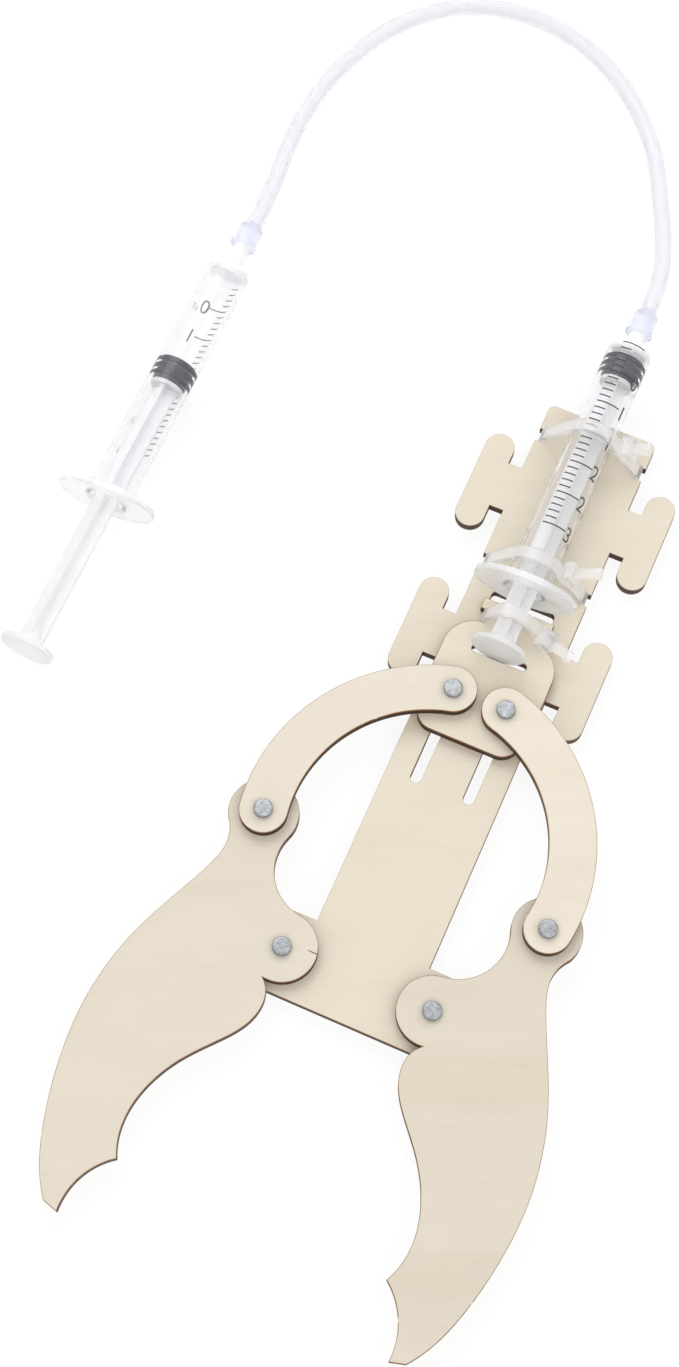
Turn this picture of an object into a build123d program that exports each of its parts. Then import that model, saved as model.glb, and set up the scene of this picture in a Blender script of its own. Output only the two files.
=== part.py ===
from build123d import *
import math
import os

# Hydraulic claw arm kit, in millimetres.
# Frame: X across the base plate, Y along it towards the syringe nozzles, Z up from the table.
# The origin is on the plate's centreline, under the strap of the rear tie, at table level.

# ---- layers of the plywood stack ----
PLY = 2.7                       # sheet thickness of every wooden piece
GAP = 0.15                      # running gap between two layers that slide on each other
TIE_T = 1.1                     # thickness of a nylon strap, which the plate rests on
BASE_Z = TIE_T                  # underside of the base plate
BASE_TOP = BASE_Z + PLY
MID_Z = BASE_TOP + GAP          # underside of the slider and of the claws
MID_TOP = MID_Z + PLY
LINK_Z = MID_TOP + GAP          # underside of the links
LINK_TOP = LINK_Z + PLY

# ---- base plate outline ----
PLATE_HALF = 13.5
HEAD_Y = 43.4
HEAD_CORNER = 1.6
FRONT_TIE_Y = 34.95
REAR_TIE_Y = 0.0
NOTCH_DEPTH = 1.8
FRONT_TIE_W = 3.2
REAR_TIE_W = 2.9
NOTCH_PLAY = 0.1
FINGER_X = 20.4
FINGER_W = 7.0
FINGER_LEN = 25.3
WINGS = ((19.2, 11.8, 18.95), (-21.05, 11.7, -21.15))    # bar centre, bar height, finger centre
TAIL_TOP_Y = -94.7
TAIL_END_Y = -113.6
WINDOW_TOP_Y = -6.4
WINDOW_END_Y = -38.2
WINDOW_CORNER = 1.0
SLOT_END_Y = -56.7
SLOT_W = 2.66

# ---- linkage: the right-hand pivots, the left ones are mirrored ----
SLIDER_PIVOT = (6.45, -34.4)
ELBOW_PIVOT = (34.15, -77.5)
CLAW_PIVOT = (17.9, -103.8)
SHANK_R = 1.2
TIGHT_R = SHANK_R + 0.02        # hole that grips a rivet
FREE_R = SHANK_R + 0.05         # hole that turns on a rivet
HEAD_R = 2.15
HEAD_H = 0.9
HEAD_LIFT = 0.1
TAIL_R = 2.3
CAP_GAP = 0.1

# ---- slider ----
BAR_HALF = 8.6
BAR_TOP_Y = -9.8
BAR_LOW_Y = -12.5
NECK_HALF = 6.5
NECK_LOW_Y = -15.6
NECK_BOW = (8.6, 7.4)           # where the plunger's tie bows out beside the neck, across and up
DISC_SLOT_Y = -22.3
DISC_SLOT_LEN = 13.4
DISC_SLOT_W = 1.7

# ---- links and claws ----
LINK_END_R = 5.5
LINK_OUTER_SAG = 15.15          # from the line between the pivots to the outer edge
LINK_INNER_SAG = 4.5
LOBE_R = 8.0
WAIST_R = 11.6                  # hollow between the claw's two lobes, tangent to both

# ---- syringes, 3 ml ----
BORE_R = 4.35
BARREL_R = 5.3
BARREL_LEN = 68.4               # back of the flange to the shoulder
FLANGE_T = 1.7
FLANGE_HALF_X = 12.45
FLANGE_HALF_Z = 8.1
SHOULDER_R = 2.8
FRONT_WALL = 1.2
NOZZLE_LEN = 7.6
NOZZLE_R = 2.2
NOZZLE_TAPER = 0.03             # loss of radius per millimetre
NOZZLE_BORE_R = 0.9
DISC_R = 6.5
DISC_T = 1.4
ROD_HALF = 2.95
ROD_T = 1.1
PLUNGER_REACH = 79.0            # thumb disc to the front rib of the piston
PISTON_LEN = 5.6
PISTON_R = 4.29
ARM_X = -0.5
ARM_BACK_Y = -7.2               # back of the arm barrel's flange
ARM_Z = BASE_TOP + 0.1 + FLANGE_HALF_Z
HAND_X = -98.85                 # back of the hand barrel's flange
HAND_BACK_Y = -23.8
HAND_YAW = -1.0                 # the hand syringe lies a degree off square
HAND_ROLL = -10.0               # and leans on the edge of its oval flange
HAND_Z = math.hypot(FLANGE_HALF_Z * math.cos(math.radians(HAND_ROLL)),
                    FLANGE_HALF_X * math.sin(math.radians(HAND_ROLL)))
HAND_DISC = -40.1               # thumb disc behind the flange's back

# ---- tube and its connectors ----
TUBE_R = 2.0
CONNECTOR_LEN = 5.8
ARM_CONNECTOR = 71.8            # open end of each connector, ahead of its flange's back
HAND_CONNECTOR = 74.2
LAID_Z = TUBE_R + 0.05
EXIT_RUN = 10.0


def hand_point(station):
    """Point on the hand syringe's axis, ahead of its flange's back."""
    yaw = math.radians(HAND_YAW)
    return (HAND_X - station * math.sin(yaw), HAND_BACK_Y + station * math.cos(yaw), HAND_Z)


ARM_TUBE_Y = ARM_BACK_Y + ARM_CONNECTOR + CONNECTOR_LEN
ROUTE = [
    (ARM_X, ARM_TUBE_Y, ARM_Z),
    (ARM_X, ARM_TUBE_Y + EXIT_RUN, ARM_Z),
    (-4.7, 93.5, 9.2),
    (-9.4, 105.5, 4.2),
    (-17.2, 121.8, LAID_Z),
    (-33.0, 137.2, LAID_Z),
    (-54.0, 145.0, LAID_Z),
    (-75.6, 141.6, LAID_Z),
    (-90.8, 127.8, LAID_Z),
    (-98.4, 110.5, LAID_Z),
    (-101.0, 94.5, LAID_Z),
    (-99.8, 80.6, 4.6),
    hand_point(HAND_CONNECTOR + CONNECTOR_LEN + EXIT_RUN),
    hand_point(HAND_CONNECTOR + CONNECTOR_LEN),
]

os.makedirs("parts", exist_ok=True)


def save(shape, name):
    """Write one node's STEP file."""
    export_step(shape, f"parts/{name}.step")


def polar(centre, radius, degrees):
    """Point on a circle."""
    angle = math.radians(degrees)
    return (centre[0] + radius * math.cos(angle), centre[1] + radius * math.sin(angle))


def heading(origin, target):
    """Direction from one point to another, in degrees."""
    return math.degrees(math.atan2(target[1] - origin[1], target[0] - origin[0]))


def plate(face, low):
    """A flat outline cut from the sheet, with its underside at a height."""
    return Pos(0, 0, low) * extrude(face, amount=PLY)


def round_hole(centre, radius, low):
    """A cutter for a drilled hole through one layer."""
    return Pos(centre[0], centre[1], low + PLY / 2) * Cylinder(radius, PLY + 2)


def mirrored(point):
    """The same point on the left-hand side."""
    return (-point[0], point[1])


def rectangle(left, right, low, high):
    """An upright rectangle given by its sides."""
    return Pos((left + right) / 2, (low + high) / 2) * Rectangle(right - left, high - low)


# ================= wooden pieces =================
def base_plate():
    """Spine with two pairs of winged fingers, a tail bar for the claws, a window and two guide slots."""
    outline = rectangle(-PLATE_HALF, PLATE_HALF, TAIL_TOP_Y - 1, HEAD_Y)
    outline = fillet(outline.vertices().group_by(Axis.Y)[-1], HEAD_CORNER)
    for bar_y, bar_height, finger_y in WINGS:
        outline += Pos(0, bar_y) * Rectangle(2 * FINGER_X, bar_height)
        for side in (-1, 1):
            outline += Pos(side * FINGER_X, finger_y) * SlotOverall(FINGER_LEN, FINGER_W, rotation=90)
    tail_height = TAIL_TOP_Y - TAIL_END_Y
    tail = SlotCenterToCenter(2 * CLAW_PIVOT[0], tail_height)
    outline += Pos(0, (TAIL_TOP_Y + TAIL_END_Y) / 2) * tail
    for tie_y, tie_w in ((FRONT_TIE_Y, FRONT_TIE_W), (REAR_TIE_Y, REAR_TIE_W)):
        for side in (-1, 1):
            notch = Rectangle(2 * NOTCH_DEPTH, tie_w + NOTCH_PLAY)
            outline -= Pos(side * PLATE_HALF, tie_y) * notch
    slot_outer = SLIDER_PIVOT[0] + SLOT_W / 2
    window = rectangle(-slot_outer, slot_outer, WINDOW_END_Y, WINDOW_TOP_Y)
    window = fillet(window.vertices().group_by(Axis.Y)[-1], WINDOW_CORNER)
    outline -= window
    slot_length = WINDOW_END_Y + 4 - SLOT_END_Y
    for side in (-1, 1):
        slot = SlotOverall(slot_length, SLOT_W, rotation=90)
        outline -= Pos(side * SLIDER_PIVOT[0], SLOT_END_Y + slot_length / 2) * slot
    solid = plate(outline, BASE_Z)
    for centre in (CLAW_PIVOT, mirrored(CLAW_PIVOT)):
        solid -= round_hole(centre, TIGHT_R, BASE_Z)
    return solid


def slider_plate():
    """Short carriage: a cross bar, a tied neck and a rounded body with the thumb disc's slot."""
    shoulder = ThreePointArc((NECK_HALF, NECK_LOW_Y), (11.3, -17.9), (13.4, -23.6))
    flank = Spline((13.4, -23.6), (13.45, -28.0), (12.3, -39.8), tangents=((0.0, -1.0), (-0.16, -1.0)))
    corner = ThreePointArc((12.3, -39.8), (11.2, -43.0), (8.2, -44.4))
    half = shoulder + flank + corner
    half += Line((8.2, -44.4), (0, -44.4))
    half += Line((0, -44.4), (0, NECK_LOW_Y))
    half += Line((0, NECK_LOW_Y), (NECK_HALF, NECK_LOW_Y))
    body = make_face(half.edges())
    outline = body + mirror(body, about=Plane.YZ)
    outline += rectangle(-NECK_HALF, NECK_HALF, NECK_LOW_Y - 1, BAR_TOP_Y - 1)
    outline += rectangle(-BAR_HALF, BAR_HALF, BAR_LOW_Y, BAR_TOP_Y)
    outline -= Pos(0, DISC_SLOT_Y) * SlotOverall(DISC_SLOT_LEN, DISC_SLOT_W)
    solid = plate(outline, MID_Z)
    for centre in (SLIDER_PIVOT, mirrored(SLIDER_PIVOT)):
        solid -= round_hole(centre, TIGHT_R, MID_Z)
    return solid


def right_link():
    """Bent link: two long arcs, bowed outwards, tangent to a round end about each pivot."""
    first, last = Vector(*SLIDER_PIVOT), Vector(*ELBOW_PIVOT)
    middle = (first + last) * 0.5
    chord = (last - first).normalized()
    outward = Vector(-chord.Y, chord.X)
    half = (last - first).length / 2
    rise_out = LINK_OUTER_SAG - LINK_END_R
    rise_in = LINK_INNER_SAG + LINK_END_R
    outer_back = (half ** 2 - rise_out ** 2) / (2 * rise_out)
    inner_back = (half ** 2 - rise_in ** 2) / (2 * rise_in)
    outer_centre = middle - outward * outer_back
    inner_centre = middle - outward * inner_back

    def touch(centre, end, sense):
        return end + (end - centre).normalized() * (LINK_END_R * sense)

    outer_first = touch(outer_centre, first, 1)
    outer_last = touch(outer_centre, last, 1)
    inner_first = touch(inner_centre, first, -1)
    inner_last = touch(inner_centre, last, -1)
    edges = ThreePointArc(outer_first, middle + outward * LINK_OUTER_SAG, outer_last)
    edges += ThreePointArc(outer_last, last + chord * LINK_END_R, inner_last)
    edges += ThreePointArc(inner_last, middle + outward * LINK_INNER_SAG, inner_first)
    edges += ThreePointArc(inner_first, first - chord * LINK_END_R, outer_first)
    solid = plate(make_face(edges.edges()), LINK_Z)
    solid -= round_hole(SLIDER_PIVOT, FREE_R, LINK_Z)
    solid -= round_hole(ELBOW_PIVOT, TIGHT_R, LINK_Z)
    return solid


def right_claw():
    """Claw: a lobe about each pivot, a hollow waist, a bellied back, a hooked jaw and a scooped tip."""
    reach = LOBE_R + WAIST_R
    span = math.dist(CLAW_PIVOT, ELBOW_PIVOT)
    up = heading(CLAW_PIVOT, ELBOW_PIVOT)
    spread = math.degrees(math.acos(span / 2 / reach))
    waist = polar(CLAW_PIVOT, reach, up + spread)
    elbow_touch = polar(ELBOW_PIVOT, LOBE_R, heading(ELBOW_PIVOT, waist))
    pivot_touch = polar(CLAW_PIVOT, LOBE_R, heading(CLAW_PIVOT, waist))
    waist_middle = polar(waist, WAIST_R, up - 90)
    back_start = polar(ELBOW_PIVOT, LOBE_R, -28)
    notch = polar(CLAW_PIVOT, LOBE_R, -82)
    tooth = (31.3, -160.0)
    tip_inner = (38.2, -175.1)
    tip_outer = (41.8, -174.1)
    scoop_middle = (36.8, -166.7)
    edges = ThreePointArc(back_start, polar(ELBOW_PIVOT, LOBE_R, 70), elbow_touch)
    edges += ThreePointArc(elbow_touch, waist_middle, pivot_touch)
    edges += ThreePointArc(pivot_touch, polar(CLAW_PIVOT, LOBE_R, 190), notch)
    edges += Spline(notch, (16.7, -115.4), (17.3, -121.2), (21.3, -127.4), (27.0, -134.2),
                    (31.3, -141.7), (33.3, -149.6), tooth)
    edges += ThreePointArc(tooth, scoop_middle, tip_inner)
    edges += Line(tip_inner, tip_outer)
    edges += Spline(tip_outer, (45.3, -168.8), (48.9, -159.6), (51.6, -147.5), (52.6, -134.0),
                    (49.35, -114.6), (45.0, -103.8), (40.7, -94.2), (38.95, -87.8), back_start)
    solid = plate(make_face(edges.edges()), MID_Z)
    solid -= round_hole(CLAW_PIVOT, FREE_R, MID_Z)
    solid -= round_hole(ELBOW_PIVOT, TIGHT_R, MID_Z)
    return solid


# ================= rivets =================
def rivet(centre, low, top):
    """Domed head that stands just above a surface, with a shank down to a height."""
    head_low = top + HEAD_LIFT
    head = Pos(centre[0], centre[1], head_low + HEAD_H / 2) * Cylinder(HEAD_R, HEAD_H)
    head = fillet(head.edges().group_by(Axis.Z)[-1], 0.4)
    length = head_low - low
    return head + Pos(centre[0], centre[1], low + length / 2) * Cylinder(SHANK_R, length)


def washer(centre, low, high):
    """Tail ring that closes a rivet from below."""
    middle = Pos(centre[0], centre[1], (low + high) / 2)
    return middle * (Cylinder(TAIL_R, high - low) - Cylinder(SHANK_R, high - low))


def closed_stub(centre, low, high, end):
    """Tail ring with a short stub that fills the hole above it."""
    height = high - low
    length = end - low
    ring = Pos(centre[0], centre[1], low + height / 2) * Cylinder(TAIL_R, height)
    return ring + Pos(centre[0], centre[1], low + length / 2) * Cylinder(SHANK_R, length)


def pair(make, centre, *heights):
    """The same rivet piece on both sides, as two separate solids."""
    return Compound(children=[make(centre, *heights), make(mirrored(centre), *heights)])


# ================= nylon ties =================
def touch_point(hub, radius, start, side):
    """Where a straight run from a plate's edge meets a round hub."""
    lean = math.degrees(math.acos(radius / math.dist(start, hub)))
    return polar(hub, radius, heading(hub, start) + side * lean)


def strap(half_width, low, shoulder, bow, hub, hub_r, width):
    """Closed strap: round the under side of a plate, up both edges, out to a bow and over a round hub."""
    left_edge = (-half_width, shoulder)
    right = touch_point(hub, hub_r, bow, 1)
    left = touch_point(hub, hub_r, left_edge, -1)
    corners = [left, left_edge, (-half_width, low), (half_width, low), (half_width, shoulder)]
    if bow[0] > half_width:
        corners.append(bow)
    edges = Polyline(*corners, right)
    edges += ThreePointArc(right, (hub[0], hub[1] + hub_r), left)
    inner = make_face(edges.edges())
    outer = offset(inner, amount=TIE_T)
    ring = Plane.XZ * (outer - inner)
    solid = extrude(ring, amount=width / 2, both=True)
    return solid, heading(bow, right)


def tie(y, half_width, low, shoulder, bow, hub_r, width, head_along, head_shift, tail):
    """A strap with its ratchet head on the right-hand run and a cut tail (length, rise, yaw)."""
    hub = (ARM_X, ARM_Z)
    solid, slope = strap(half_width, low, shoulder, bow, hub, hub_r, width)
    across = width + 1.6
    head_x, head_z = polar(bow, head_along, slope)
    out_x, out_z = polar((0, 0), TIE_T / 2 + 0.6, slope - 90)
    place = Pos(head_x + out_x, head_shift, head_z + out_z)
    solid += place * Rot(0, -slope, 0) * fillet(Box(4.4, across, 3.0).edges(), 0.45)
    tail_length, tail_rise, tail_yaw = tail
    strip = Pos(tail_length / 2, 0, 0) * Box(tail_length, width - 0.3, 0.9)
    solid += place * Rot(0, 0, tail_yaw) * Rot(0, -tail_rise, 0) * strip
    inside = Plane.XZ * Pos(*hub) * Circle(hub_r)
    solid -= extrude(inside, amount=width, both=True)
    return Pos(0, y, 0) * solid


# ================= syringes =================
def turned(points):
    """Solid of revolution about the Y axis from (radius, station) points."""
    face = make_face(Polyline(*[(r, y) for r, y in points], close=True).edges())
    return revolve(face, axis=Axis.Y)


def nozzle_radius(station):
    """Outer radius of the tapered nozzle at a station ahead of the flange's back."""
    return NOZZLE_R - NOZZLE_TAPER * (station - BARREL_LEN)


def barrel():
    """Open-backed barrel with an oval finger flange, rounded shoulder and tapered nozzle."""
    tip = BARREL_LEN + NOZZLE_LEN
    bore_end = BARREL_LEN - FRONT_WALL
    body = turned([(0, 0), (BARREL_R, 0), (BARREL_R, BARREL_LEN), (0, BARREL_LEN)])
    body = fillet(body.edges().group_by(Axis.Y)[-1], SHOULDER_R)
    body += turned([(0, BARREL_LEN - 1), (NOZZLE_R, BARREL_LEN - 1), (NOZZLE_R, BARREL_LEN),
                    (nozzle_radius(tip), tip), (0, tip)])
    oval = Plane.XZ * Ellipse(FLANGE_HALF_X, FLANGE_HALF_Z)
    flange = extrude(oval, amount=-FLANGE_T)
    flange = fillet(flange.edges(), 0.35)
    body += flange
    cone = 0.8
    body -= turned([(0, -1), (BORE_R, -1), (BORE_R, bore_end - cone), (NOZZLE_BORE_R, bore_end),
                    (NOZZLE_BORE_R, tip + 1), (0, tip + 1)])
    return body


def plunger():
    """Thumb disc at the origin, cross-shaped rod, guide disc and tip knob, along +Y."""
    knob_end = PLUNGER_REACH - 1.6
    piston_back = PLUNGER_REACH - PISTON_LEN
    disc = turned([(0, -DISC_T / 2), (DISC_R, -DISC_T / 2), (DISC_R, DISC_T / 2), (0, DISC_T / 2)])
    disc = fillet(disc.edges(), 0.4)
    rod_length = piston_back - 0.8 - DISC_T / 2
    rod_middle = DISC_T / 2 + rod_length / 2
    rod = Pos(0, rod_middle, 0) * (Box(2 * ROD_HALF, rod_length, ROD_T) + Box(ROD_T, rod_length, 2 * ROD_HALF))
    neck = turned([(0, 0), (3.6, DISC_T / 2), (1.6, 5.0), (0, 5.0)])
    guide = turned([(0, piston_back - 1.6), (3.9, piston_back - 1.6), (3.9, piston_back - 0.6),
                    (1.3, piston_back - 0.6), (1.3, piston_back), (0, piston_back)])
    knob = turned([(0, piston_back), (1.3, piston_back), (1.3, knob_end - 2.0), (2.0, knob_end - 1.6),
                   (2.0, knob_end - 0.6), (1.0, knob_end), (0, knob_end)])
    return disc + rod + neck + guide + knob


def piston():
    """Rubber piston with two sealing ribs, a low cone in front and a socket for the plunger's knob."""
    back = PLUNGER_REACH - PISTON_LEN
    front = PLUNGER_REACH
    knob_end = front - 1.6
    groove_r = PISTON_R - 0.45
    return turned([(1.3, back), (PISTON_R, back), (PISTON_R, back + 1.0), (groove_r, back + 1.4),
                   (groove_r, back + 1.9), (PISTON_R - 0.12, back + 2.2), (PISTON_R - 0.12, back + 2.8),
                   (groove_r, back + 3.1), (groove_r, front - 1.4), (PISTON_R, front - 1.0),
                   (PISTON_R, front - 0.1), (3.9, front), (0, front + 0.7),
                   (0, knob_end), (1.0, knob_end), (2.0, knob_end - 0.6), (2.0, knob_end - 1.6),
                   (1.3, knob_end - 2.0)])


def connector(start_station):
    """Socket on a nozzle: a lip, a tapered body and a small bore into the tube."""
    tip_station = BARREL_LEN + NOZZLE_LEN
    depth = tip_station - start_station + 0.2
    mouth_r = nozzle_radius(start_station) + 0.02
    deep_r = nozzle_radius(tip_station) + 0.02
    outside = turned([(0, 0), (3.3, 0), (3.3, 0.9), (3.1, 1.2), (2.75, CONNECTOR_LEN), (0, CONNECTOR_LEN)])
    inside = turned([(0, -0.5), (mouth_r, -0.5), (mouth_r, 0), (deep_r, depth), (0.8, depth),
                     (0.8, CONNECTOR_LEN + 0.5), (0, CONNECTOR_LEN + 0.5)])
    return outside - inside


# ================= tube =================
def corner_radii(route):
    """Largest radius that the two runs at each corner leave room for."""
    points = [Vector(*p) for p in route]
    radii = []
    for before, here, after in zip(points, points[1:], points[2:]):
        run_in = here - before
        run_out = after - here
        turn = math.radians(run_in.get_angle(run_out))
        radii.append(0.45 * min(run_in.length, run_out.length) / math.tan(turn / 2))
    return radii


def tube():
    """Flexible tube: straight runs joined by tangent arcs, laid from one connector to the other."""
    radii = corner_radii(ROUTE)
    path = FilletPolyline(*ROUTE, radius=radii)
    section = Plane(origin=path @ 0, z_dir=path % 0) * Circle(TUBE_R)
    solid = sweep(section, path=path)
    expected = math.pi * TUBE_R ** 2 * path.length
    print("tube length %.1f mm, volume / (section x length) %.4f" % (path.length, solid.volume / expected))
    print("tube corner radii", [round(r, 1) for r in radii])
    return solid


# ================= build every node =================
save(base_plate(), "base_plate")
save(slider_plate(), "slider_plate")
link = right_link()
save(link, "right_link")
save(mirror(link, about=Plane.YZ), "left_link")
claw = right_claw()
save(claw, "right_claw")
save(mirror(claw, about=Plane.YZ), "left_claw")

save(pair(rivet, CLAW_PIVOT, 0.0, MID_TOP), "claw_pivot_rivets")
save(pair(washer, CLAW_PIVOT, 0.0, BASE_Z), "claw_pivot_washers")
save(pair(rivet, SLIDER_PIVOT, CAP_GAP / 2, LINK_TOP), "slider_rivets")
save(pair(washer, SLIDER_PIVOT, CAP_GAP / 2, BASE_Z - CAP_GAP), "slider_washers")
for side_name, elbow in (("right", ELBOW_PIVOT), ("left", mirrored(ELBOW_PIVOT))):
    save(rivet(elbow, LINK_Z, LINK_TOP), side_name + "_elbow_rivet")
    save(closed_stub(elbow, MID_Z - 1.05, MID_Z, MID_TOP), side_name + "_elbow_washer")

EDGE = PLATE_HALF - NOTCH_DEPTH
PLATE_EDGE = (EDGE, BASE_TOP)
save(tie(FRONT_TIE_Y, EDGE, BASE_Z, BASE_TOP, PLATE_EDGE, BARREL_R, FRONT_TIE_W, 7.6, 1.5, (5.6, 30, 10)),
     "front_tie")
save(tie(REAR_TIE_Y, EDGE, BASE_Z, BASE_TOP, PLATE_EDGE, BARREL_R, REAR_TIE_W, 8.4, 1.5, (7.8, 30, 10)),
     "rear_tie")
NECK_Y = (BAR_LOW_Y + NECK_LOW_Y) / 2
save(tie(NECK_Y, NECK_HALF, MID_Z, MID_TOP, NECK_BOW, ROD_HALF + 0.1, REAR_TIE_W, 1.5, -0.9, (7.3, -10, -12)),
     "plunger_tie")

ARM_PLACE = Pos(ARM_X, ARM_BACK_Y, ARM_Z)
ARM_DISC_PLACE = Pos(ARM_X, DISC_SLOT_Y, ARM_Z)
HAND_PLACE = Pos(*hand_point(0)) * Rot(0, 0, HAND_YAW) * Rot(0, HAND_ROLL, 0)
HAND_DISC_PLACE = HAND_PLACE * Pos(0, HAND_DISC, 0)
for side_name, place, disc_place, station in (("arm", ARM_PLACE, ARM_DISC_PLACE, ARM_CONNECTOR),
                                              ("hand", HAND_PLACE, HAND_DISC_PLACE, HAND_CONNECTOR)):
    save(place * barrel(), side_name + "_barrel")
    save(disc_place * plunger(), side_name + "_plunger")
    save(disc_place * piston(), side_name + "_piston")
    save(place * Pos(0, station, 0) * connector(station), side_name + "_connector")
save(tube(), "tube")
print("hand disc's outer face", hand_point(HAND_DISC - DISC_T / 2))
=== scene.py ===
import math

import bmesh
import bpy
from mathutils import Matrix, Vector


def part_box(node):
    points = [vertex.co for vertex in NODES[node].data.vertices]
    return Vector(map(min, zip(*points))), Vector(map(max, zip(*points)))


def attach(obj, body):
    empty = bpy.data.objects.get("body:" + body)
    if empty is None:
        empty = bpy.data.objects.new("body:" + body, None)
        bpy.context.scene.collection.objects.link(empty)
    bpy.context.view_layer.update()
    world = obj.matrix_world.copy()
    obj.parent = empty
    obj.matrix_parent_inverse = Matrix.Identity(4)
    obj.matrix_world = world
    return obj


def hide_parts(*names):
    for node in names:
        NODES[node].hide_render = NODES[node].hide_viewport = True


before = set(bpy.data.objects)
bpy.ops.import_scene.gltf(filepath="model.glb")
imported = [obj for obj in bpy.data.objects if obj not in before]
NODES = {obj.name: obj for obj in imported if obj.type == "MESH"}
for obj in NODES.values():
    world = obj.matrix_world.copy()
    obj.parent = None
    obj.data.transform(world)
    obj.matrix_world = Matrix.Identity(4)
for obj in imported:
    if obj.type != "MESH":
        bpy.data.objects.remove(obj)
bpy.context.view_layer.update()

# Hydraulic claw arm kit. Lengths named here are in millimetres; MM turns them into Blender's metres.
MM = 0.001

# ---- layout ----
ARM_X = -0.5
ARM_Z = 12.0
ARM_BACK_Y = -7.2
HAND_BACK = (-98.85, -23.8)
HAND_Z = sum(corner.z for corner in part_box("hand_barrel")) / 2 / MM
HAND_YAW = -1.0
BARREL_R = 5.3
BARREL_LEN = 68.4
SHOULDER_R = 2.8
TUBE_R = 2.0
TUBE_BORE_R = 1.25
CONNECTOR_START = {"arm": 71.8, "hand": 74.2}    # mouth of each connector, ahead of its flange's back
CONNECTOR_LEN = 5.8
CONNECTOR_END = {side: start + CONNECTOR_LEN for side, start in CONNECTOR_START.items()}
EXIT_RUN = 10.0
LAID_Z = TUBE_R + 0.05
TURNED_SIDES = 96               # flats round a turned piece
WELD = 1e-6                     # metres; points closer than this are one


def mm(*values):
    """A point in metres from millimetres."""
    return Vector(values) * MM


def hand_point(station):
    """Point on the hand syringe's axis, ahead of its flange's back, in millimetres."""
    yaw = math.radians(HAND_YAW)
    return (HAND_BACK[0] - station * math.sin(yaw), HAND_BACK[1] + station * math.cos(yaw), HAND_Z)


def add_object(name, data, body):
    """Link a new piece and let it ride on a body."""
    piece = bpy.data.objects.new(name, data)
    bpy.context.scene.collection.objects.link(piece)
    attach(piece, body)
    return piece


def mesh_from(name, verts, faces, smooth=True):
    """A mesh from points in millimetres."""
    mesh = bpy.data.meshes.new(name)
    mesh.from_pydata([Vector(v) * MM for v in verts], [], faces)
    mesh.validate()
    mesh.polygons.foreach_set("use_smooth", [smooth] * len(mesh.polygons))
    mesh.update()
    return mesh


def lathe(name, profile, closed, crease=35.0):
    """Turned mesh about Y from (radius, station) points in millimetres.

    A closed profile joins its last point to its first. An open one ends on the axis, and its first ring is
    capped.
    """
    verts, faces = [], []
    for radius, station in profile:
        for k in range(TURNED_SIDES):
            angle = 2 * math.pi * k / TURNED_SIDES
            verts.append((radius * math.sin(angle), station, radius * math.cos(angle)))
    rings = len(profile)
    for i in range(rings if closed else rings - 1):
        here, there = i * TURNED_SIDES, (i + 1) % rings * TURNED_SIDES
        for k in range(TURNED_SIDES):
            ahead = (k + 1) % TURNED_SIDES
            faces.append((here + k, here + ahead, there + ahead, there + k))
    if not closed:
        faces.append(tuple(range(TURNED_SIDES))[::-1])
    mesh = mesh_from(name, verts, faces)
    welded = bmesh.new()
    welded.from_mesh(mesh)
    bmesh.ops.remove_doubles(welded, verts=welded.verts, dist=WELD)
    bmesh.ops.recalc_face_normals(welded, faces=welded.faces)
    welded.to_mesh(mesh)
    welded.free()
    mesh.set_sharp_from_angle(angle=math.radians(crease))
    return mesh


# ================= camera =================
def make_camera():
    """Looks down on the arm from the claws' side."""
    yaw, tilt, roll = math.radians(23.85), math.radians(19.60), math.radians(-0.17)
    turn = Matrix.Rotation(yaw, 4, "Z") @ Matrix.Rotation(tilt, 4, "X") @ Matrix.Rotation(roll, 4, "Z")
    aim = mm(-31.34, -41.75, 3.8)
    distance = 547.33 * MM
    data = bpy.data.cameras.new("camera")
    data.lens = 62.907
    data.sensor_width = 36.0
    data.clip_start = 0.01
    data.clip_end = 20.0
    camera = bpy.data.objects.new("camera", data)
    camera.matrix_world = Matrix.Translation(aim) @ turn @ Matrix.Translation((0, 0, distance))
    bpy.context.scene.collection.objects.link(camera)
    bpy.context.scene.camera = camera


make_camera()


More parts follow.
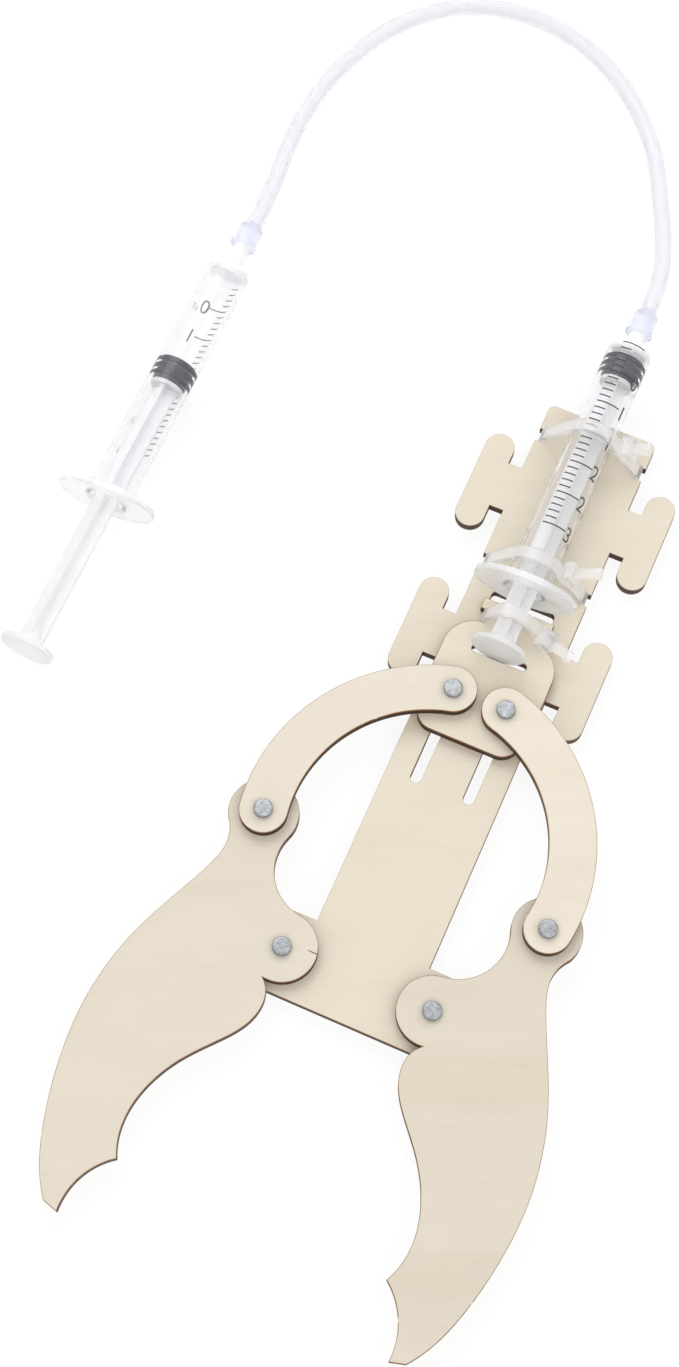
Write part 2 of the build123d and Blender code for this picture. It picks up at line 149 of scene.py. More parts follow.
# ================= material helpers =================
class Material:
    """A node material with short ways to add and join nodes."""

    def __init__(self, name):
        self.data = bpy.data.materials.new(name)
        self.data.use_nodes = True
        self.tree = self.data.node_tree
        self.shader = self.tree.nodes["Principled BSDF"]

    def node(self, kind, **settings):
        made = self.tree.nodes.new(kind)
        for key, value in settings.items():
            setattr(made, key, value)
        return made

    def feed(self, target, source):
        """Set a socket to a value, or join another socket to it."""
        if isinstance(source, bpy.types.NodeSocket):
            self.tree.links.new(source, target)
        else:
            target.default_value = source

    def set(self, **values):
        """Set the shader's own sockets, with underscores for spaces."""
        for key, value in values.items():
            self.feed(self.shader.inputs[key.replace("_", " ")], value)

    def position(self, scale=(1, 1, 1), turn=0.0, shift=(0, 0, 0)):
        """Object coordinates in millimetres, turned about Z and stretched."""
        place = self.node("ShaderNodeTexCoord").outputs["Object"]
        first = self.node("ShaderNodeMapping")
        self.feed(first.inputs["Vector"], place)
        first.inputs["Rotation"].default_value = (0, 0, -turn)
        second = self.node("ShaderNodeMapping")
        self.feed(second.inputs["Vector"], first.outputs["Vector"])
        second.inputs["Scale"].default_value = [s / MM for s in scale]
        second.inputs["Location"].default_value = shift
        return second.outputs["Vector"]

    def axis(self, letter):
        """One of the object coordinates, in millimetres."""
        split = self.node("ShaderNodeSeparateXYZ")
        self.feed(split.inputs[0], self.position())
        return split.outputs[letter]

    def noise(self, vector, scale=1.0, detail=3.0, rough=0.5, distortion=0.0):
        made = self.node("ShaderNodeTexNoise")
        self.feed(made.inputs["Vector"], vector)
        made.inputs["Scale"].default_value = scale
        made.inputs["Detail"].default_value = detail
        made.inputs["Roughness"].default_value = rough
        made.inputs["Distortion"].default_value = distortion
        return made.outputs["Fac"]

    def ramp(self, factor, *stops):
        """Colour ramp from (position, colour) stops; a single number stands for a grey."""
        made = self.node("ShaderNodeValToRGB")
        self.feed(made.inputs["Fac"], factor)
        elements = made.color_ramp.elements
        while len(elements) < len(stops):
            elements.new(0.5)
        for element, (place, colour) in zip(elements, stops):
            element.position = place
            if isinstance(colour, (int, float)):
                colour = (colour, colour, colour)
            element.color = (*colour, 1.0)
        return made.outputs["Color"]

    def math(self, operation, first, second=0.0):
        made = self.node("ShaderNodeMath", operation=operation)
        self.feed(made.inputs[0], first)
        self.feed(made.inputs[1], second)
        return made.outputs["Value"]

    def mix(self, factor, first, second, blend="MIX"):
        made = self.node("ShaderNodeMix", data_type="RGBA", blend_type=blend)
        self.feed(made.inputs["Factor"], factor)
        self.feed(made.inputs[6], (*first, 1.0) if isinstance(first, tuple) else first)
        self.feed(made.inputs[7], (*second, 1.0) if isinstance(second, tuple) else second)
        return made.outputs[2]

    def bump(self, height, distance, strength=1.0):
        made = self.node("ShaderNodeBump")
        self.feed(made.inputs["Height"], height)
        made.inputs["Distance"].default_value = distance * MM
        made.inputs["Strength"].default_value = strength
        self.feed(self.shader.inputs["Normal"], made.outputs["Normal"])

    def upward(self):
        """How squarely the surface faces up or down, from 0 to 1."""
        normal = self.node("ShaderNodeNewGeometry").outputs["Normal"]
        split = self.node("ShaderNodeSeparateXYZ")
        self.feed(split.inputs[0], normal)
        return self.math("ABSOLUTE", split.outputs["Z"])


# ================= materials =================
GRAIN_TURN = math.radians(23.85)        # the way the grain runs in every panel
PLY = 2.7
PLY_LIGHT = (0.735, 0.665, 0.545)
PLY_TAN = (0.700, 0.605, 0.460)
# painted shade: the grey laid in a ring round each rivet head
RIVET_SHADE = (0.34, 0.33, 0.30)
CRACK_DARK = (0.16, 0.09, 0.05)
AMBER_DARK = (0.27, 0.12, 0.048)
AMBER_LIGHT = (0.50, 0.30, 0.155)
BURNT_LAYERS = (                        # from the sheet's underside, 0, to its top, 1
    (0.05, (0.075, 0.032, 0.016)),
    (0.33, (0.045, 0.019, 0.011)),
    (0.62, (0.026, 0.012, 0.008)),
    (0.80, (0.085, 0.036, 0.017)),
    (0.98, (0.20, 0.092, 0.040)),
)
RIB_SHADE_LINES = (0.35, 1.75, 4.15)       # painted shade lines beside a piston's ribs, ahead of its rear end
MILKY = (0.945, 0.945, 0.955)           # a clear barrel's flange and front end


def shade(colour, factor):
    """A colour made lighter or darker, with no channel over 1."""
    return tuple(min(c * factor, 1.0) for c in colour)


def rivet_shade_rings(mat, centres):
    """Painted shade: a grey ring round each rivet, strongest just outside its head; 0 is unshaded, 1 is full
    shade.
    """
    total = 0.0
    wander = mat.noise(mat.position((0.35, 0.35, 0.35)), detail=2.0)
    for x, y in centres:
        gap = mat.node("ShaderNodeVectorMath", operation="DISTANCE")
        mat.feed(gap.inputs[0], mat.position((1, 1, 0)))
        gap.inputs[1].default_value = (x, y - 0.5, 0)
        near = mat.math("MULTIPLY", gap.outputs["Value"], 0.22)
        spread = mat.math("ADD", near, mat.math("MULTIPLY", wander, 0.35))
        total = mat.math("MAXIMUM", mat.ramp(spread, (0.52, 1.0), (0.80, 0.35), (1.0, 0.0)), total)
    return total


def split_line(mat, place, turn, length, width):
    """Mask of one short dark crack in a sheet."""
    x, y = place
    shifted = mat.node("ShaderNodeVectorMath", operation="SUBTRACT")
    mat.feed(shifted.inputs[0], mat.position((1, 1, 0)))
    shifted.inputs[1].default_value = (x, y, 0)
    spin = mat.node("ShaderNodeMapping")
    mat.feed(spin.inputs["Vector"], shifted.outputs["Vector"])
    spin.inputs["Rotation"].default_value = (0, 0, -turn)
    spin.inputs["Scale"].default_value = (1 / length, 1 / width, 0)
    size = mat.node("ShaderNodeVectorMath", operation="LENGTH")
    mat.feed(size.inputs[0], spin.outputs["Vector"])
    return mat.ramp(size.outputs["Value"], (0.35, 1.0), (0.60, 0.0))


def wood_face(mat, tone, shift, rivets, crack):
    """Colour of the bare faces, with painted shade round the rivets, and the height of their grain."""
    broad = mat.position((0.006, 0.09, 0.1), GRAIN_TURN, shift)
    bands = mat.noise(broad, detail=4.0, rough=0.6, distortion=0.4)
    fibres = mat.noise(mat.position((0.10, 2.6, 1.0), GRAIN_TURN, shift), detail=3.0, rough=0.7)
    pores = mat.noise(mat.position((0.5, 8.0, 1.0), GRAIN_TURN, shift), detail=1.0, rough=0.5)
    clouds = mat.noise(mat.position((0.035, 0.055, 0.05), GRAIN_TURN, shift), detail=3.0, distortion=0.6)
    light = tuple(c * t for c, t in zip(PLY_LIGHT, tone))
    tan = tuple(c * t for c, t in zip(PLY_TAN, tone))
    face = mat.ramp(bands, (0.30, tan), (0.46, light), (0.75, shade(light, 1.03)))
    face = mat.mix(0.5, face, mat.ramp(clouds, (0.32, shade(light, 0.94)), (0.66, light)))
    face = mat.mix(0.14, face, mat.ramp(fibres, (0.35, 0.80), (0.60, 1.0)), "MULTIPLY")
    face = mat.mix(0.30, face, mat.ramp(pores, (0.22, 0.55), (0.29, 1.0)), "MULTIPLY")
    # painted shade round the rivet heads
    face = mat.mix(mat.math("MULTIPLY", rivet_shade_rings(mat, rivets), 0.42), face, RIVET_SHADE)
    if crack:
        face = mat.mix(split_line(mat, *crack), face, CRACK_DARK)
    return face, mat.math("ADD", fibres, mat.math("MULTIPLY", pores, 0.4))


def burnt_edge(mat, tone, shift, top, facing):
    """Colour of the laser-cut edges: three burnt layers, an amber rim and a few pale nicks."""
    soot = mat.noise(mat.position((0.35, 0.35, 1.6)), detail=3.0, rough=0.6)
    depth = mat.math("DIVIDE", mat.math("SUBTRACT", mat.axis("Z"), top - PLY), PLY)
    layer = mat.math("ADD", depth, mat.math("MULTIPLY", mat.math("SUBTRACT", soot, 0.5), 0.35))
    burnt = mat.ramp(layer, *BURNT_LAYERS)
    patches = mat.noise(mat.position((0.42, 0.42, 0.05), 0.0, shift), detail=0.0)
    nick = mat.ramp(patches, (0.815, 0.0), (0.83, 1.0))
    amber = mat.mix(mat.ramp(soot, (0.3, 0.0), (0.7, 1.0)), AMBER_DARK, AMBER_LIGHT)
    rim = mat.ramp(facing, (0.30, 0.0), (0.55, 1.0))
    light = tuple(c * t for c, t in zip(PLY_LIGHT, tone))
    return mat.mix(nick, mat.mix(rim, burnt, amber), shade(light, 1.1))


def plywood(name, tone, shift, top, rivets, crack=None):
    """Bare basswood ply: faint straight grain on the faces and laser-burnt edges."""
    mat = Material(name)
    facing = mat.upward()
    face, grain = wood_face(mat, tone, shift, rivets, crack)
    edge = burnt_edge(mat, tone, shift, top, facing)
    level = mat.ramp(facing, (0.90, 0.0), (0.985, 1.0))
    mat.set(Base_Color=mat.mix(level, edge, face), Roughness=0.62, IOR=1.45, Specular_IOR_Level=0.35)
    mat.bump(grain, 0.03, 0.3)
    return mat.data


def milky_ends(mat, flange_back):
    """How milky a clear barrel is: somewhat at its flange, and most at its rounded front end."""
    station = mat.math("SUBTRACT", mat.axis("Y"), flange_back)
    flange = mat.ramp(mat.math("DIVIDE", station, 10.0), (0.16, 0.45), (0.24, 0.0))
    dome = mat.ramp(mat.math("DIVIDE", station, 100.0), (0.645, 0.0), (0.665, 1.0))
    return mat.math("MAXIMUM", flange, dome)


def clear_plastic(name, tint, clear, rough, index, open_share, flange_back=None):
    """Clear or milky moulded plastic; open_share of the lamps' light passes straight through it."""
    mat = Material(name)
    cloud = mat.noise(mat.position((0.25, 0.25, 0.25)), detail=2.0)
    colour = mat.ramp(cloud, (0.3, tint), (0.7, shade(tint, 1.02)))
    mat.set(Transmission_Weight=clear)
    if flange_back is not None:
        milk = milky_ends(mat, flange_back)
        colour = mat.mix(milk, colour, MILKY)
        mat.set(Transmission_Weight=mat.ramp(milk, (0.0, clear), (1.0, 0.18)))
    mat.set(Base_Color=colour, IOR=index,
            Roughness=mat.ramp(cloud, (0.3, max(rough - 0.02, 0.0)), (0.7, rough + 0.02)))
    lamps = mat.math("MULTIPLY", mat.node("ShaderNodeLightPath").outputs["Is Shadow Ray"], open_share)
    both = mat.node("ShaderNodeMixShader")
    mat.feed(both.inputs[0], lamps)
    mat.feed(both.inputs[1], mat.shader.outputs[0])
    mat.feed(both.inputs[2], mat.node("ShaderNodeBsdfTransparent").outputs[0])
    mat.feed(mat.tree.nodes["Material Output"].inputs["Surface"], both.outputs[0])
    return mat.data


def rivet_metal():
    """Plated rivet metal, dulled, with hammered flats."""
    mat = Material("rivet_metal")
    fine = mat.noise(mat.position((1.4, 1.4, 0.6)), detail=4.0, rough=0.65)
    flats = mat.node("ShaderNodeTexVoronoi", feature="SMOOTH_F1")
    mat.feed(flats.inputs["Vector"], mat.position((0.42, 0.42, 0.2)))
    flats.inputs["Scale"].default_value = 1.0
    mat.set(Base_Color=mat.ramp(fine, (0.3, (0.27, 0.285, 0.30)), (0.7, (0.48, 0.50, 0.52))),
            Metallic=1.0, Roughness=mat.ramp(fine, (0.3, 0.30), (0.7, 0.46)))
    mat.bump(mat.math("ADD", mat.math("MULTIPLY", fine, 0.3), flats.outputs["Distance"]), 0.25, 0.6)
    return mat.data


def black_rubber(name, back):
    """Dark slate rubber with a painted shade line beside each rib; back is the place of the piston's rear
    end.
    """
    mat = Material(name)
    fine = mat.noise(mat.position((2.0, 2.0, 2.0)), detail=3.0)
    colour = mat.ramp(fine, (0.3, (0.036, 0.038, 0.055)), (0.7, (0.052, 0.055, 0.076)))
    along = mat.axis("Y")
    # painted shade: a near-black line in the creases beside the ribs
    for line in RIB_SHADE_LINES:
        gap = mat.math("ABSOLUTE", mat.math("SUBTRACT", along, back + line))
        colour = mat.mix(mat.ramp(gap, (0.12, 0.80), (0.34, 0.0)), colour, (0.006, 0.006, 0.008))
    mat.set(Base_Color=colour, Roughness=mat.ramp(fine, (0.3, 0.34), (0.7, 0.48)))
    mat.bump(fine, 0.01, 0.3)
    return mat.data


def printing_ink():
    """Dark grey ink, slightly worn."""
    mat = Material("scale_ink")
    worn = mat.noise(mat.position((3.0, 3.0, 3.0)), detail=2.0)
    colour = mat.ramp(worn, (0.35, (0.018, 0.019, 0.022)), (0.75, (0.060, 0.062, 0.068)))
    mat.set(Base_Color=colour, Roughness=0.55)
    return mat.data


RIVET = rivet_metal()
INK = printing_ink()
CLEAR_BARREL = {"tint": (0.955, 0.956, 0.966), "clear": 0.95, "rough": 0.04, "index": 1.25,
                "open_share": 0.95}
ARM_BARREL = clear_plastic("arm_barrel_plastic", **CLEAR_BARREL, flange_back=ARM_BACK_Y)
HAND_BARREL = clear_plastic("hand_barrel_plastic", **CLEAR_BARREL, flange_back=HAND_BACK[1])
PLUNGER = clear_plastic("plunger_plastic", tint=(0.905, 0.905, 0.913), clear=0.46, rough=0.30, index=1.25,
                        open_share=0.62)
NYLON = clear_plastic("tie_nylon", tint=(0.925, 0.915, 0.91), clear=0.66, rough=0.22, index=1.20,
                      open_share=0.72)
VINYL = clear_plastic("tube_vinyl", tint=(0.880, 0.874, 0.902), clear=0.68, rough=0.15, index=1.22,
                      open_share=0.85)
FITTING = clear_plastic("connector_plastic", tint=(0.86, 0.885, 0.975), clear=0.72, rough=0.15, index=1.25,
                        open_share=0.80)


def paint(piece, material):
    """Give a piece one material."""
    piece.data.materials.clear()
    piece.data.materials.append(material)


# ================= tube =================
ROUTE = [
    (ARM_X, ARM_BACK_Y + CONNECTOR_END["arm"], ARM_Z),
    (ARM_X, ARM_BACK_Y + CONNECTOR_END["arm"] + EXIT_RUN, ARM_Z),
    (-4.7, 93.5, 9.2),
    (-9.4, 105.5, 4.2),
    (-17.2, 121.8, LAID_Z),
    (-33.0, 137.2, LAID_Z),
    (-54.0, 145.0, LAID_Z),
    (-75.6, 141.6, LAID_Z),
    (-90.8, 127.8, LAID_Z),
    (-98.4, 110.5, LAID_Z),
    (-101.0, 94.5, LAID_Z),
    (-99.8, 80.6, 4.6),
    hand_point(CONNECTOR_END["hand"] + EXIT_RUN),
    hand_point(CONNECTOR_END["hand"]),
]


def route_curve(route):
    """Smooth centreline with the route's points as its control points."""
    curve = bpy.data.curves.new("tube_line", "CURVE")
    curve.dimensions = "3D"
    curve.resolution_u = 12
    spline = curve.splines.new("NURBS")
    spline.points.add(len(route) - 1)
    for point, place in zip(spline.points, route):
        point.co = (*(Vector(place) * MM), 1.0)
    spline.order_u = 3
    spline.use_endpoint_u = True
    return curve


def centreline(curve):
    """Points along the curve, read from Blender's own evaluation of it."""
    holder = bpy.data.objects.new("tube_line", curve)
    mesh = bpy.data.meshes.new_from_object(holder)
    points = [v.co.copy() for v in mesh.vertices]
    bpy.data.objects.remove(holder)
    bpy.data.meshes.remove(mesh)
    return points


def hollow_tube(points, outer, bore, sides=40):
    """Closed wall of a tube that follows points in metres."""
    verts, faces = [], []
    count = len(points)
    for radius in (outer, bore):
        side = Vector((1, 0, 0))
        for index, here in enumerate(points):
            ahead = points[min(index + 1, count - 1)] - points[max(index - 1, 0)]
            ahead.normalize()
            side = (side - ahead * side.dot(ahead)).normalized()
            up = ahead.cross(side)
            for k in range(sides):
                angle = 2 * math.pi * k / sides
                verts.append(here + (side * math.cos(angle) + up * math.sin(angle)) * radius)
    inner = count * sides
    for i in range(count - 1):
        for k in range(sides):
            a, b = i * sides + k, i * sides + (k + 1) % sides
            faces.append((a, b, b + sides, a + sides))
            faces.append((inner + a, inner + a + sides, inner + b + sides, inner + b))
    for first in (0, (count - 1) * sides):
        for k in range(sides):
            a, b = first + k, first + (k + 1) % sides
            ring = (a, inner + a, inner + b, b)
            faces.append(ring if first == 0 else ring[::-1])
    mesh = bpy.data.meshes.new("tube")
    mesh.from_pydata(verts, [], faces)
    mesh.polygons.foreach_set("use_smooth", [True] * len(faces))
    mesh.update()
    return mesh


TUBE_LINE = centreline(route_curve(ROUTE))
tube_wall = hollow_tube(TUBE_LINE, TUBE_R * MM, TUBE_BORE_R * MM)
tube = add_object("vinyl_tube", tube_wall, "frame")
paint(tube, VINYL)
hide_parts("tube")


# ================= plywood pieces =================
RIM = 0.14                      # width of the fine chamfer round every cut edge
FLAT_TURN = 0.5                 # degrees; flatter joins between triangles are merged
SLIDER_PIVOT = (6.45, -34.4)
ELBOW_PIVOT = (34.15, -77.5)
CLAW_PIVOT = (17.9, -103.8)
CRACK = ((-10.9, -102.3), math.radians(24), 3.2, 0.28)      # place, direction, length and width
PATCH_STEP = (3.7, 11.3)        # from one panel's patch of grain to the next
PANELS = {                      # each panel's body and the tone of its wood
    "base_plate": ("frame", (1.0, 1.0, 1.0)),
    "slider_plate": ("carriage", (1.02, 1.02, 1.02)),
    "left_link": ("left_link", (1.0, 1.0, 1.03)),
    "right_link": ("right_link", (1.03, 1.03, 1.06)),
    "left_claw": ("left_claw", (0.95, 0.95, 0.97)),
    "right_claw": ("right_claw", (0.93, 0.93, 0.95)),
}


def rimmed_copy(node, width):
    """A CAD panel's mesh with its flat triangles merged and a fine chamfer round every rim."""
    mesh = bmesh.new()
    mesh.from_mesh(NODES[node].data)
    bmesh.ops.remove_doubles(mesh, verts=mesh.verts, dist=WELD)
    bmesh.ops.dissolve_limit(mesh, angle_limit=math.radians(FLAT_TURN), verts=mesh.verts, edges=mesh.edges)
    rims = [e for e in mesh.edges if len(e.link_faces) == 2 and is_rim(e)]
    bmesh.ops.bevel(mesh, geom=rims, offset=width * MM, segments=1, affect="EDGES", clamp_overlap=True)
    bmesh.ops.triangulate(mesh, faces=[f for f in mesh.faces if len(f.verts) > 4])
    made = bpy.data.meshes.new(node + "_panel")
    mesh.to_mesh(made)
    mesh.free()
    return made


def is_rim(edge):
    """True where a level face meets an upright wall."""
    first, second = (abs(face.normal.z) for face in edge.link_faces)
    return (first > 0.9) != (second > 0.9)


def make_panels():
    """Plywood pieces, each with its own patch of grain."""
    pins = {"right_claw": [CLAW_PIVOT, ELBOW_PIVOT], "right_link": [SLIDER_PIVOT, ELBOW_PIVOT]}
    pins["left_claw"] = [(-x, y) for x, y in pins["right_claw"]]
    pins["left_link"] = [(-x, y) for x, y in pins["right_link"]]
    for index, (node, (body, tone)) in enumerate(PANELS.items()):
        panel = add_object(node + "_panel", rimmed_copy(node, RIM), body)
        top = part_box(node)[1].z / MM
        shift = (PATCH_STEP[0] * index, PATCH_STEP[1] * index, 0)
        crack = CRACK if node == "left_claw" else None
        paint(panel, plywood("plywood_" + node, tone, shift, top, pins.get(node, []), crack))
        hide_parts(node)


make_panels()


# ================= carried-over CAD nodes =================
METAL_NODES = ["claw_pivot_rivets", "claw_pivot_washers", "slider_rivets", "slider_washers"]
METAL_NODES += [side + "_elbow_" + part for side in ("left", "right") for part in ("rivet", "washer")]
TIE_NODES = ["front_tie", "rear_tie", "plunger_tie"]
PLUNGER_NODES = ["arm_plunger", "hand_plunger"]
for finish, node_names in ((RIVET, METAL_NODES), (NYLON, TIE_NODES), (PLUNGER, PLUNGER_NODES)):
    for node_name in node_names:
        paint(NODES[node_name], finish)


# ================= printed scale =================
INK_LIFT = 0.02
TICK_WIDTH = 0.34
ZERO_STATION = 66.4             # the zero line, ahead of the flange's back
ML_STEP = 16.8
SCALE_START = -24.5             # degrees round the barrel from its top
LONG_TICK = 64.0
SHORT_TICK = 30.0
LABEL_START = 38.0
LABEL_SIZE = 5.4
LABEL_DROP = 2.2                # from a long line down to its label's foot
SMALL_SIZE = 2.1
SMALL_DROP = 0.6
SMALL_GAP = 3.5                 # degrees between a numeral and its fraction
LABELS = {                      # numeral and small print beside each long line
    0.5: ("0", "1/2"), 1.0: ("1", ""), 1.5: ("1", "1/2"),
    2.0: ("2", ""), 2.5: ("2", "1/2"), 3.0: ("3", "ml"),
}


def wrap(degrees, station):
    """Point on the barrel's surface, just proud of it, about the Y axis."""
    angle = math.radians(degrees)
    past = max(0.0, station - (BARREL_LEN - SHOULDER_R))
    radius = BARREL_R - SHOULDER_R + math.sqrt(SHOULDER_R ** 2 - past ** 2) + INK_LIFT
    return (radius * math.sin(angle), station, radius * math.cos(angle))


def tick(verts, faces, start, sweep, station):
    """One curved line round the barrel."""
    steps = max(4, round(sweep / 5))
    base = len(verts)
    for k in range(steps + 1):
        degrees = start + sweep * k / steps
        verts.append(wrap(degrees, station + TICK_WIDTH / 2))
        verts.append(wrap(degrees, station - TICK_WIDTH / 2))
    for k in range(steps):
        a = base + 2 * k
        faces.append((a, a + 2, a + 3, a + 1))


def lettering(text, size):
    """Flat outline of a text in millimetres, as points and faces, and its width."""
    curve = bpy.data.curves.new("label", "FONT")
    curve.body = text
    curve.size = size
    curve.resolution_u = 3
    holder = bpy.data.objects.new("label", curve)
    mesh = bpy.data.meshes.new_from_object(holder)
    points = [tuple(v.co) for v in mesh.vertices]
    faces = [tuple(p.vertices) for p in mesh.polygons]
    bpy.data.objects.remove(holder)
    bpy.data.meshes.remove(mesh)
    return points, faces, max(p[0] for p in points)


def label(verts, faces, text, size, degrees, station):
    """Lettering wrapped round the barrel, reading away from the scale; returns where it ends."""
    points, outlines, width = lettering(text, size)
    base = len(verts)
    per_mm = math.degrees(1 / BARREL_R)
    for x, y, _ in points:
        verts.append(wrap(degrees + x * per_mm, station + y))
    faces.extend(tuple(base + i for i in face) for face in outlines)
    return degrees + width * per_mm


def printed_scale(name, place, roll):
    """Graduations and numerals of one barrel, as one piece on its surface."""
    verts, faces = [], []
    for tenth in range(31):
        millilitres = tenth / 10
        sweep = LONG_TICK if tenth % 5 == 0 else SHORT_TICK
        tick(verts, faces, SCALE_START, sweep, ZERO_STATION - ML_STEP * millilitres)
    for millilitres, (whole, small) in LABELS.items():
        station = ZERO_STATION - ML_STEP * millilitres - LABEL_DROP
        end = label(verts, faces, whole, LABEL_SIZE, LABEL_START, station)
        if small:
            label(verts, faces, small, SMALL_SIZE, end + SMALL_GAP, station - SMALL_DROP)
    mesh = mesh_from(name, verts, faces, smooth=False)
    mesh.transform(place @ Matrix.Rotation(math.radians(roll), 4, "Y"))
    piece = add_object(name, mesh, "frame")
    paint(piece, INK)


ARM_PLACE = Matrix.Translation(mm(ARM_X, ARM_BACK_Y, ARM_Z))
HAND_PLACE = Matrix.Translation(mm(*hand_point(0))) @ Matrix.Rotation(math.radians(HAND_YAW), 4, "Z")
HAND_SCALE_ROLL = 156.0         # the hand syringe's scale faces down and is read through the barrel
printed_scale("arm_scale", ARM_PLACE, 0.0)
printed_scale("hand_scale", HAND_PLACE, HAND_SCALE_ROLL)


# ================= barrels, connectors and pistons =================
BORE_R = 4.35
NOZZLE_R = 2.2
NOZZLE_TAPER = 0.03
NOZZLE_LEN = 7.6
NOZZLE_BORE_R = 0.9
FRONT_WALL = 1.2
FLANGE_T = 1.7
FLANGE_HALF = (12.45, 8.1)
FLANGE_SECTION = (              # share of the way out to the rim, and of the thickness
    (0.0, 0.0), (0.72, 0.0), (0.96, 0.06), (1.0, 0.22), (1.0, 0.78), (0.96, 0.94), (0.72, 1.0), (0.0, 1.0),
)
HAND_ROLL = -10.0


def nozzle_radius(station):
    """Outer radius of the tapered nozzle."""
    return NOZZLE_R - NOZZLE_TAPER * (station - BARREL_LEN)


def barrel_mesh(name):
    """Barrel wall and nozzle turned in one, with its oval finger flange round the back end."""
    tip = BARREL_LEN + NOZZLE_LEN
    bore_end = BARREL_LEN - FRONT_WALL
    rings = [0.0, 20.0, 45.0]
    profile = [(BARREL_R, station) for station in rings]
    for k in range(13):
        angle = math.pi / 2 * k / 12
        radius = BARREL_R - SHOULDER_R * (1 - math.cos(angle))
        profile.append((radius, BARREL_LEN - SHOULDER_R * (1 - math.sin(angle))))
    profile += [(NOZZLE_R + 0.15, BARREL_LEN), (NOZZLE_R, BARREL_LEN + 0.2), (nozzle_radius(tip), tip - 0.15),
                (nozzle_radius(tip) - 0.15, tip), (NOZZLE_BORE_R, tip), (NOZZLE_BORE_R, bore_end),
                (NOZZLE_BORE_R + 0.7, bore_end - 0.05), (BORE_R - 0.35, bore_end - 0.65),
                (BORE_R, bore_end - 1.05)]
    profile += [(BORE_R, station) for station in reversed(rings)]
    mesh = lathe(name, profile, closed=True)
    add_flange(mesh)
    mesh.set_sharp_from_angle(angle=math.radians(40))
    return mesh


def add_flange(mesh):
    """Oval finger flange with rounded rims, from just inside the barrel's wall outwards."""
    flange = bmesh.new()
    flange.from_mesh(mesh)
    loops = []
    for reach, depth in FLANGE_SECTION:
        loop = []
        for k in range(TURNED_SIDES):
            angle = 2 * math.pi * k / TURNED_SIDES
            inner = Vector((math.sin(angle), math.cos(angle))) * (BARREL_R - 0.03)
            outer = Vector((FLANGE_HALF[0] * math.sin(angle), FLANGE_HALF[1] * math.cos(angle)))
            at = inner.lerp(outer, reach)
            loop.append(flange.verts.new(mm(at.x, depth * FLANGE_T, at.y)))
        loops.append(loop)
    made = []
    for first, second in zip(loops, loops[1:] + loops[:1]):
        for k in range(TURNED_SIDES):
            ahead = (k + 1) % TURNED_SIDES
            made.append(flange.faces.new((first[k], first[ahead], second[ahead], second[k])))
    for face in made:
        face.smooth = True
    bmesh.ops.recalc_face_normals(flange, faces=made)
    flange.to_mesh(mesh)
    flange.free()


def connector_mesh(name, start):
    """Socket with a lip, a tapered body and a bore that grips the nozzle."""
    tip = BARREL_LEN + NOZZLE_LEN
    depth = tip - start + 0.2
    mouth = nozzle_radius(start) + 0.02
    deep = nozzle_radius(tip) + 0.02
    lip = [(3.1, 0.0), (3.27, 0.08), (3.3, 0.2), (3.3, 0.7), (3.25, 0.9), (3.1, 1.15), (3.04, 1.5)]
    end = [(2.78, CONNECTOR_LEN - 0.25), (2.6, CONNECTOR_LEN), (0.8, CONNECTOR_LEN), (0.8, depth)]
    return lathe(name, [(mouth, 0.0)] + lip + end + [(deep, depth)], closed=True)


def make_syringe(syringe, place, plastic):
    """Barrel and tube socket of one syringe."""
    mesh = barrel_mesh(syringe + "_clear_barrel")
    mesh.transform(place)
    barrel = add_object(syringe + "_clear_barrel", mesh, "frame")
    paint(barrel, plastic)
    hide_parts(syringe + "_barrel")
    start = CONNECTOR_START[syringe]
    mesh = connector_mesh(syringe + "_tube_socket", start)
    mesh.transform(place @ Matrix.Translation(mm(0, start, 0)))
    fitting = add_object(syringe + "_tube_socket", mesh, "frame")
    paint(fitting, FITTING)
    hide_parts(syringe + "_connector")


make_syringe("arm", ARM_PLACE, ARM_BARREL)
make_syringe("hand", HAND_PLACE @ Matrix.Rotation(math.radians(HAND_ROLL), 4, "Y"), HAND_BARREL)


PLUNGER_REACH = 79.0
PISTON_LEN = 5.6
ARM_DISC_Y = -22.3
HAND_DISC = -40.1
SEAL_R = 4.40                   # the ribs press into the bore's wall
RIBS = ((0.85, 0.80), (2.75, 1.00), (4.70, 0.85))      # middle, ahead of the piston's back, and half width
RIB_RISE = 0.4


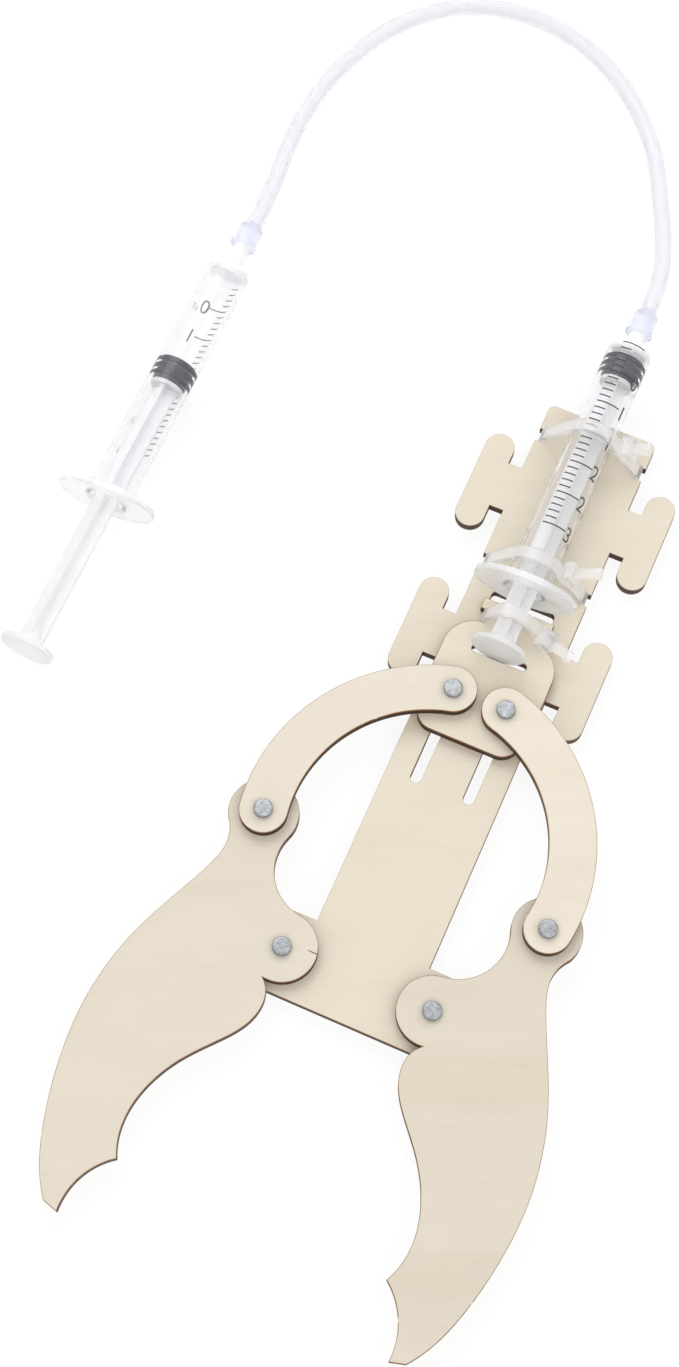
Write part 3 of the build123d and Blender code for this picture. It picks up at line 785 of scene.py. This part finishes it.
def ribbed_piston(name, place, body, node):
    """Rubber piston: a flat back, three soft ribs and a low cone in front."""
    back = PLUNGER_REACH - PISTON_LEN
    profile = [(1.35, back), (3.9, back)]
    for middle, half in RIBS:
        for k in range(13):
            angle = math.pi * k / 12
            radius = SEAL_R - RIB_RISE + RIB_RISE * math.sin(angle) ** 0.35
            profile.append((radius, back + middle - half * math.cos(angle)))
    profile += [(3.7, PLUNGER_REACH + 0.05), (2.0, PLUNGER_REACH + 0.4), (0.0, PLUNGER_REACH + 0.7)]
    mesh = lathe(name, profile, closed=False, crease=50.0)
    mesh.transform(place)
    piece = add_object(name, mesh, body)
    paint(piece, black_rubber(name + "_rubber", (place @ mm(0, back, 0)).y / MM))
    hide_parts(node)


ARM_DISC_PLACE = Matrix.Translation(mm(ARM_X, ARM_DISC_Y, ARM_Z))
HAND_DISC_PLACE = HAND_PLACE @ Matrix.Translation(mm(0, HAND_DISC, 0))
ribbed_piston("arm_ribbed_piston", ARM_DISC_PLACE, "carriage", "arm_piston")
ribbed_piston("hand_ribbed_piston", HAND_DISC_PLACE, "hand_plunger", "hand_piston")


# ================= floor and light =================
FLOOR_REACH = 12000
FLOOR_Z = -0.06
LAMPS = (                       # name, place and size in metres, power in watts
    ("key", (-0.45, 0.55, 0.95), 0.7, 4.2),
    ("fill", (0.5, -0.3, 1.1), 0.9, 2.2),
)


def make_stage():
    """White floor and soft studio light."""
    signs = ((-1, -1), (1, -1), (1, 1), (-1, 1))
    corners = [(x * FLOOR_REACH, y * FLOOR_REACH, FLOOR_Z) for x, y in signs]
    mesh = mesh_from("floor", corners, [(0, 1, 2, 3)], smooth=False)
    floor = bpy.data.objects.new("floor", mesh)
    bpy.context.scene.collection.objects.link(floor)
    mat = Material("floor_white")
    mat.set(Base_Color=(0.15, 0.15, 0.15, 1.0), Roughness=0.9, Specular_IOR_Level=0.0,
            Emission_Color=(1.0, 1.0, 1.0, 1.0), Emission_Strength=0.85)
    paint(floor, mat.data)
    world = bpy.data.worlds.new("studio")
    world.use_nodes = True
    world.node_tree.nodes["Background"].inputs["Color"].default_value = (1, 1, 1, 1)
    world.node_tree.nodes["Background"].inputs["Strength"].default_value = 0.86
    bpy.context.scene.world = world
    for name, place, size, power in LAMPS:
        data = bpy.data.lights.new(name, "AREA")
        data.size = size
        data.energy = power
        lamp = bpy.data.objects.new(name, data)
        lamp.location = place
        lamp.rotation_mode = "QUATERNION"
        lamp.rotation_quaternion = (Vector(place) - mm(-30, -30, 0)).to_track_quat("Z", "Y")
        bpy.context.scene.collection.objects.link(lamp)
    bpy.context.scene.view_settings.view_transform = "Standard"


make_stage()
